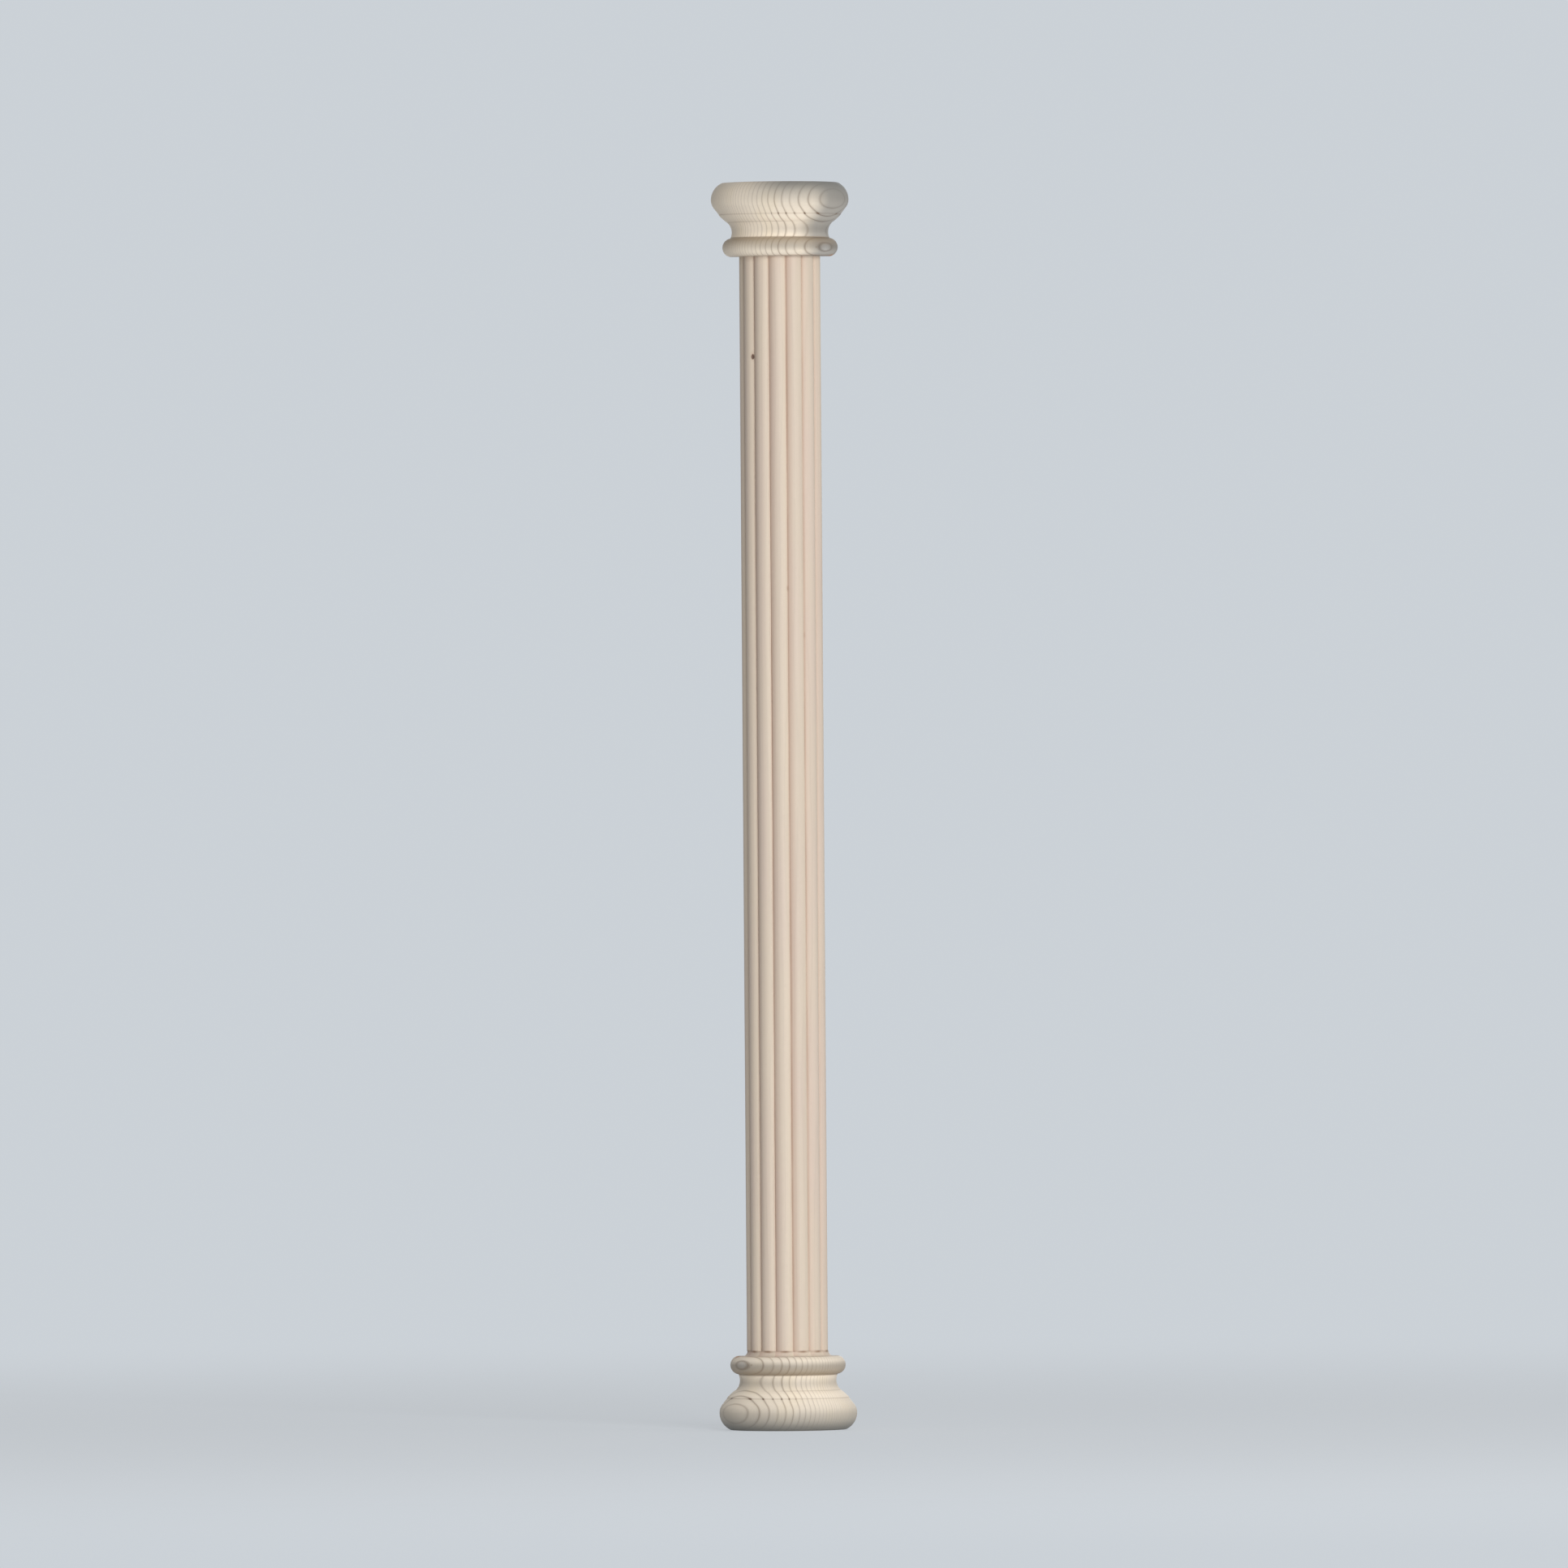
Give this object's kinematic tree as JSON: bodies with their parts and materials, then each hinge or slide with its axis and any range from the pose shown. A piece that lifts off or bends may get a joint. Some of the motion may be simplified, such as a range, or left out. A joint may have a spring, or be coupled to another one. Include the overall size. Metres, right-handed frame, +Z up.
{
  "type": "reeded half-column pilaster",
  "caption": "Slim half-round wooden pilaster: a shaft of convex reeds between a turned capital and an identical upturned base, flat at the back for fixing to a surface.",
  "frame": {"origin": "middle of the foot's back edge, where the floor meets the surface the pilaster is fixed to", "axes": "+Z up the shaft, +X along the width with the front seen from -Y, +Y out of the flat back"},
  "size_m": [0.085, 0.0425, 0.768],
  "materials": {
    "shaft_wood": "bare sanded softwood, pinkish beige, satin",
    "turned_wood": "bare turned pine, pale cream with brown growth rings, satin"
  },
  "bodies": {
    "root": {"shaft": "shaft_wood", "capital": "turned_wood", "base": "turned_wood"}
  },
  "joints": []
}
